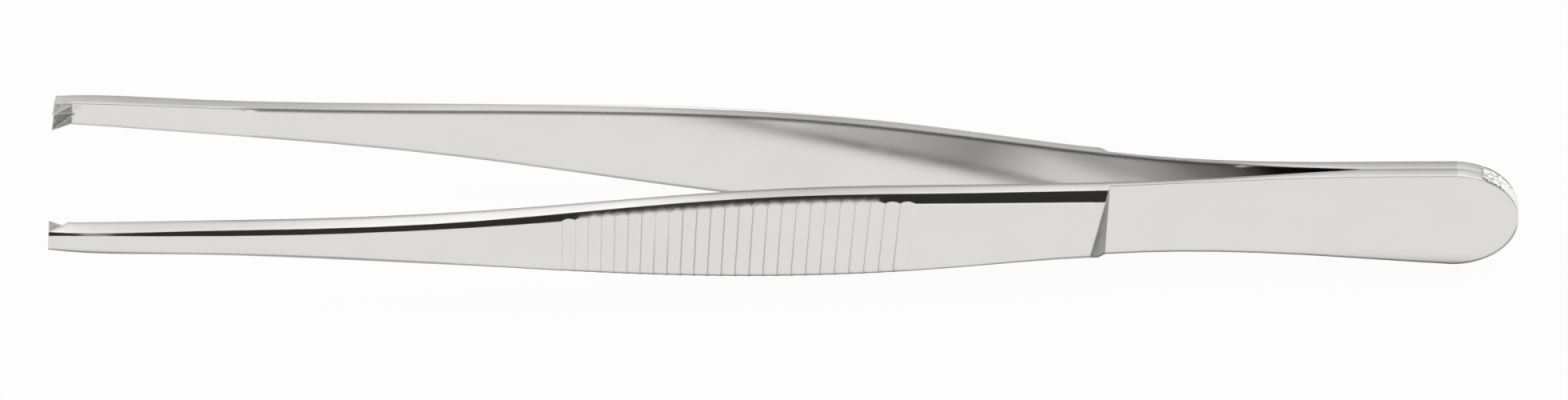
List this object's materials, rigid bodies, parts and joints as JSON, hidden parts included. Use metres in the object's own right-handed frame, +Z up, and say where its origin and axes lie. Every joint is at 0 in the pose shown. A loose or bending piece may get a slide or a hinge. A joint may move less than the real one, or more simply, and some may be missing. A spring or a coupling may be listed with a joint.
{
  "type": "thumb forceps",
  "caption": "Spring-action thumb forceps for holding tissue: two welded steel arms with a fluted grip, a single tooth on one jaw and paired teeth on the other.",
  "frame": {"origin": "centre of the bounding box at the floor, on the plane midway between the arms", "axes": "+X from the jaws to the butt, Y the way the arms open with the single tooth arm on the -Y side, +Z up through the arms' width as the forceps lies on its side edges"},
  "size_m": [0.145, 0.0218, 0.0111],
  "materials": {
    "steel": "satin polished stainless steel",
    "weld": "rough, bright weld metal"
  },
  "bodies": {
    "root": {"single_tooth_arm": "steel", "twin_tooth_arm": "steel", "end_weld": "weld"}
  },
  "joints": []
}
